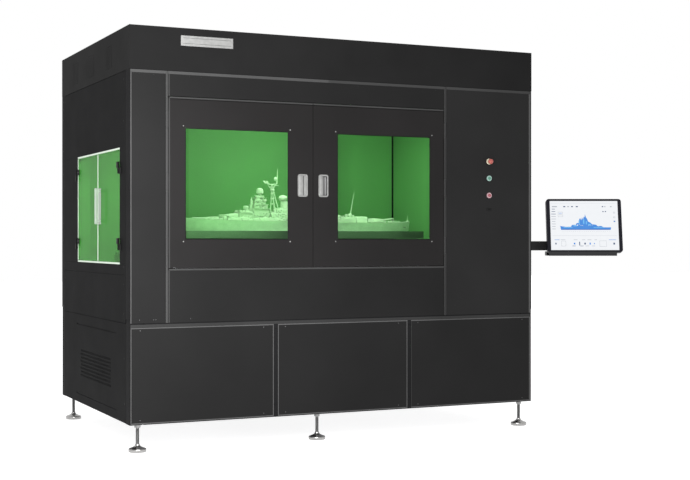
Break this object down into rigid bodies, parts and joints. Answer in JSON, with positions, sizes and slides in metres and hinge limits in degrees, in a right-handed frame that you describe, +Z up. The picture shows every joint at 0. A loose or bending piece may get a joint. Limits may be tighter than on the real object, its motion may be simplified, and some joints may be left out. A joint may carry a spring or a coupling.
{
  "type": "resin printer",
  "caption": "Large-format laser resin printer: charcoal cabinet on levelling feet, green-glazed doors, lift platform over a vat, side doors and an operator monitor on a swing arm.",
  "frame": {"origin": "on the floor, under the centre of the whole object's box, monitor and side handles included", "axes": "+X to the right along the front, +Y from the front to the rear, +Z up"},
  "size_m": [3.4157, 1.8008, 2.438],
  "materials": {
    "frame_paint": "fine textured charcoal powder coat",
    "cover_paint": "fine textured charcoal powder coat",
    "panel_paint": "fine textured charcoal powder coat",
    "door_paint": "fine textured charcoal powder coat",
    "trim_paint": "semi-matte charcoal",
    "arm_paint": "semi-matte black",
    "chrome_feet": "polished nickel",
    "zinc_studs": "bright zinc",
    "galvanised": "galvanised",
    "vent_black": "matte black",
    "steel": "ground steel",
    "screw_black": "black oxide",
    "liner_white": "satin white",
    "deck_steel": "brushed stainless",
    "vat_steel": "brushed stainless",
    "led_white": "diffuser",
    "machined_plate": "machined",
    "laser_housing": "black anodised",
    "lift_casting": "machined",
    "rail_steel": "ground",
    "platform_steel": "bead blasted stainless",
    "zinc_plate": "zinc plated",
    "device_grey": "moulded",
    "pc_black": "fine texture",
    "button_chrome": "polished",
    "seal_white": "matte",
    "hinge_black": "satin black",
    "green_window": "tinted acrylic",
    "pull_satin": "satin nickel",
    "estop_red": "gloss",
    "start_green": "translucent gloss",
    "stop_red": "translucent gloss",
    "monitor_black": "fine satin",
    "screen": "lit display"
  },
  "bodies": {
    "cabinet": {"base_frame": "frame_paint", "upper_frame": "frame_paint", "foot_pads": "chrome_feet", "foot_studs": "zinc_studs", "floor_pan": "galvanised", "top_cover": "cover_paint", "vent_louvres": "vent_black", "left_column_panel": "panel_paint", "right_column_panel": "panel_paint", "upper_fascia": "panel_paint", "lower_fascia": "panel_paint", "hinge_trims": "trim_paint", "door_hinge_pins": "steel", "lower_front_panels": "panel_paint", "panel_screws": "screw_black", "left_upper_panel": "panel_paint", "left_middle_panel": "panel_paint", "left_lower_panel": "panel_paint", "right_side_panel": "panel_paint", "rear_panels": "panel_paint", "chamber_liner": "liner_white", "work_deck": "deck_steel", "resin_vat": "vat_steel", "led_strips": "led_white", "optical_plate": "machined_plate", "laser_units": "laser_housing", "scan_heads": "laser_housing", "lift_columns": "lift_casting", "recoater_rails": "rail_steel", "electrical_plate": "zinc_plate", "electrical_devices": "device_grey", "lower_bay_units": "pc_black", "button_bodies": "button_chrome", "side_window_seals": "seal_white", "fixed_hinge_halves": "hinge_black", "arm_bracket": "arm_paint"},
    "left_door": {"left_door_shell": "door_paint", "left_door_window": "green_window", "left_door_pull": "pull_satin"},
    "right_door": {"right_door_shell": "door_paint", "right_door_window": "green_window", "right_door_pull": "pull_satin"},
    "side_door_front": {"side_leaf_front": "green_window", "front_leaf_hardware": "pull_satin"},
    "side_door_rear": {"side_leaf_rear": "green_window", "rear_leaf_hardware": "pull_satin"},
    "service_panel": {"service_door": "panel_paint"},
    "estop": {"emergency_stop": "estop_red"},
    "start": {"start_button": "start_green"},
    "stop": {"stop_button": "stop_red"},
    "arm": {"monitor_arm": "arm_paint"},
    "head": {"monitor_head": "arm_paint", "monitor_tray": "arm_paint"},
    "monitor": {"monitor_housing": "monitor_black", "monitor_screen": "screen"},
    "platform": {"platform_frame": "platform_steel", "build_platform": "platform_steel"},
    "screw_left": {"lift_screw_left": "steel"},
    "screw_right": {"lift_screw_right": "steel"},
    "recoater": {"recoater": "rail_steel"}
  },
  "joints": [
    {"name": "left_door_hinge", "type": "hinge", "parent": "cabinet", "child": "left_door", "pos_m": [-1.44734, -0.75364, 1.13], "axis": [0, 0, -1], "range_deg": [0, 110]},
    {"name": "right_door_hinge", "type": "hinge", "parent": "cabinet", "child": "right_door", "pos_m": [0.38416, -0.75364, 1.13], "axis": [0, 0, 1], "range_deg": [0, 110]},
    {"name": "side_front_hinge", "type": "hinge", "parent": "cabinet", "child": "side_door_front", "pos_m": [-1.67684, -0.55564, 1.155], "axis": [0, 0, 1], "range_deg": [0, 100]},
    {"name": "side_rear_hinge", "type": "hinge", "parent": "cabinet", "child": "side_door_rear", "pos_m": [-1.67684, 0.45236, 1.155], "axis": [0, 0, -1], "range_deg": [0, 100]},
    {"name": "service_hinge", "type": "hinge", "parent": "cabinet", "child": "service_panel", "pos_m": [1.03716, 0.63836, 0.98], "axis": [0, 0, 1], "range_deg": [0, 100]},
    {"name": "estop_press", "type": "slide", "parent": "cabinet", "child": "estop", "axis": [0, 1, 0], "range_m": [0, 0.005], "stiffness_N_per_m": 1500},
    {"name": "start_press", "type": "slide", "parent": "cabinet", "child": "start", "axis": [0, 1, 0], "range_m": [0, 0.004], "stiffness_N_per_m": 600},
    {"name": "stop_press", "type": "slide", "parent": "cabinet", "child": "stop", "axis": [0, 1, 0], "range_m": [0, 0.004], "stiffness_N_per_m": 600},
    {"name": "arm_swing", "type": "hinge", "parent": "cabinet", "child": "arm", "pos_m": [1.06516, -0.58464, 1.144], "axis": [0, 0, 1], "range_deg": [-40, 30]},
    {"name": "head_swivel", "type": "hinge", "parent": "arm", "child": "head", "pos_m": [1.53116, -0.58464, 1.144], "axis": [0, 0, 1], "range_deg": [-5, 50]},
    {"name": "monitor_tilt", "type": "hinge", "parent": "head", "child": "monitor", "pos_m": [1.47454, -0.70498, 1.299], "axis": [-0.9048, 0.4258, 0], "range_deg": [0, 13]},
    {"name": "platform_lift", "type": "slide", "parent": "cabinet", "child": "platform", "axis": [0, 0, -1], "range_m": [0, 0.55]},
    {"name": "screw_left_spin", "type": "hinge", "parent": "cabinet", "child": "screw_left", "pos_m": [-1.00984, 0.48036, 1.1], "axis": [0, 0, 1], "range_deg": [-19801, 19801]},
    {"name": "screw_right_spin", "type": "hinge", "parent": "cabinet", "child": "screw_right", "pos_m": [0.08016, 0.48036, 1.1], "axis": [0, 0, 1], "range_deg": [-19801, 19801]},
    {"name": "recoater_travel", "type": "slide", "parent": "cabinet", "child": "recoater", "axis": [0, 1, 0], "range_m": [0, 0.86]}
  ],
  "couplings": [
    {"joint": "screw_left_spin", "follows": "platform_lift", "rad_per_m": 628.32},
    {"joint": "screw_right_spin", "follows": "platform_lift", "rad_per_m": 628.32}
  ]
}
